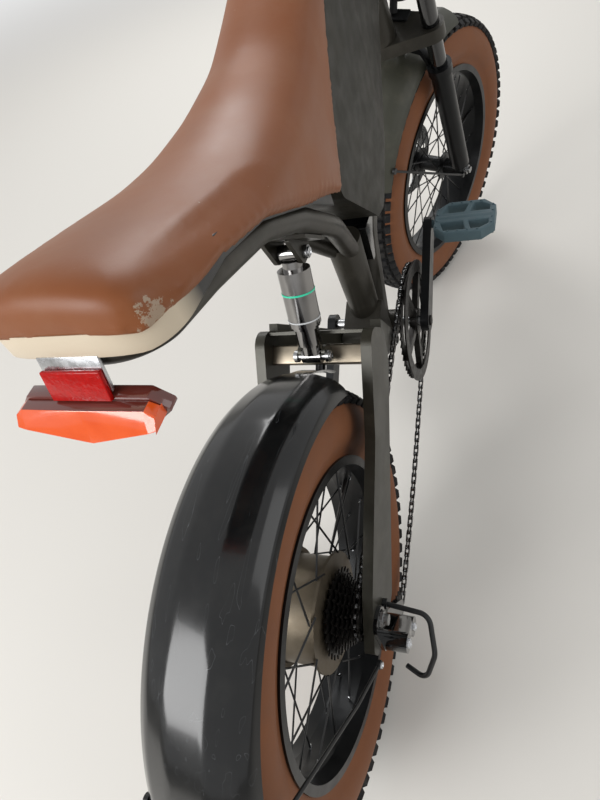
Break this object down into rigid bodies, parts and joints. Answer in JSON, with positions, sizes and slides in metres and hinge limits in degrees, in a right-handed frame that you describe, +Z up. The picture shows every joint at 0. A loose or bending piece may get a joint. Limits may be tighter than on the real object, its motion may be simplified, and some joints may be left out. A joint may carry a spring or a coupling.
{
  "type": "electric fat bike",
  "caption": "Small-wheeled electric bicycle with fat tyres, twin-crown suspension fork, long bench seat over a boxed battery, fenders, hub motor and side stand.",
  "frame": {"origin": "centre of the bottom of the bounding box, on the road", "axes": "+X forward, +Y to the rider's left, +Z up; the bike leans to its left on the side stand, as it parks"},
  "size_m": [1.6894, 0.663, 1.0075],
  "materials": {
    "frame_paint": "satin black powder coat",
    "dark_hardware": "black painted steel",
    "bright_steel": "bare steel",
    "silver_alloy": "polished alloy",
    "black_alloy": "black anodised alloy",
    "case_plastic": "moulded black plastic",
    "seat_cover": "black coated fabric",
    "tyre": "black rubber",
    "grip_rubber": "black rubber",
    "red_lens": "red translucent plastic",
    "lamp_glass": "clear lens"
  },
  "bodies": {
    "frame": {"main_frame": "frame_paint", "seat_rails": "frame_paint", "seat": "seat_cover", "battery_tank": "case_plastic", "controller": "case_plastic", "swing_arm": "frame_paint", "shock_body": "dark_hardware", "shock_shaft": "dark_hardware", "frame_bolts": "dark_hardware", "shock_clevis": "frame_paint", "rear_fender": "case_plastic", "rear_fender_stays": "dark_hardware", "tail_bracket": "frame_paint", "rear_reflector": "red_lens", "tail_lamp_case": "case_plastic", "tail_lamp_lens": "red_lens", "rear_axle": "bright_steel", "rear_caliper": "dark_hardware", "chain": "bright_steel", "derailleur": "case_plastic", "derailleur_pulleys": "case_plastic", "derailleur_guard": "dark_hardware", "stand_bracket": "dark_hardware"},
    "stand": {"side_stand": "dark_hardware"},
    "crank": {"crank_spindle": "bright_steel", "chainring": "dark_hardware", "right_crank": "black_alloy", "left_crank": "black_alloy"},
    "right_pedal": {"right_pedal": "case_plastic"},
    "left_pedal": {"left_pedal": "case_plastic"},
    "rear_wheel": {"rear_tyre": "tyre", "rear_rim": "black_alloy", "rear_spokes": "bright_steel", "hub_motor": "black_alloy", "cassette": "bright_steel", "rear_disc": "bright_steel"},
    "steering": {"lower_crown": "frame_paint", "upper_crown": "frame_paint", "steerer": "dark_hardware", "fork_stanchions": "silver_alloy", "fork_lowers": "frame_paint", "front_axle": "bright_steel", "front_fender": "case_plastic", "front_fender_stays": "dark_hardware", "front_caliper": "dark_hardware", "handlebar": "frame_paint", "bar_clamps": "frame_paint", "grips": "grip_rubber", "brake_levers": "dark_hardware", "display": "case_plastic", "headlight": "case_plastic", "headlight_lens": "lamp_glass"},
    "front_wheel": {"front_tyre": "tyre", "front_rim": "black_alloy", "front_spokes": "bright_steel", "front_hub": "black_alloy", "front_disc": "bright_steel"}
  },
  "joints": [
    {"name": "steering_turn", "type": "hinge", "parent": "frame", "child": "steering", "pos_m": [0.51637, -0.07657, 0.28634], "axis": [-0.3425, 0.0901, 0.9352], "range_deg": [-19.5, 60.5]},
    {"name": "front_wheel_spin", "type": "hinge", "parent": "steering", "child": "front_wheel", "pos_m": [0.55597, -0.09087, 0.30222], "axis": [0.3291, 0.9438, 0.0296], "continuous": true},
    {"name": "rear_wheel_spin", "type": "hinge", "parent": "frame", "child": "rear_wheel", "pos_m": [-0.52535, -0.07509, 0.30117], "axis": [0, 0.9954, -0.0958], "continuous": true},
    {"name": "crank_spin", "type": "hinge", "parent": "frame", "child": "crank", "pos_m": [-0.01837, -0.07126, 0.34123], "axis": [0, 0.9954, -0.0958], "continuous": true},
    {"name": "right_pedal_spin", "type": "hinge", "parent": "crank", "child": "right_pedal", "pos_m": [0.12252, -0.14576, 0.44397], "axis": [0, 0.9954, -0.0958], "continuous": true},
    {"name": "left_pedal_spin", "type": "hinge", "parent": "crank", "child": "left_pedal", "pos_m": [-0.15925, 0.00324, 0.23848], "axis": [0, 0.9954, -0.0958], "continuous": true},
    {"name": "stand_swing", "type": "hinge", "parent": "frame", "child": "stand", "pos_m": [-0.44732, 0.02421, 0.24744], "axis": [0.1141, 0.9356, 0.334], "range_deg": [0, 107.2]}
  ]
}
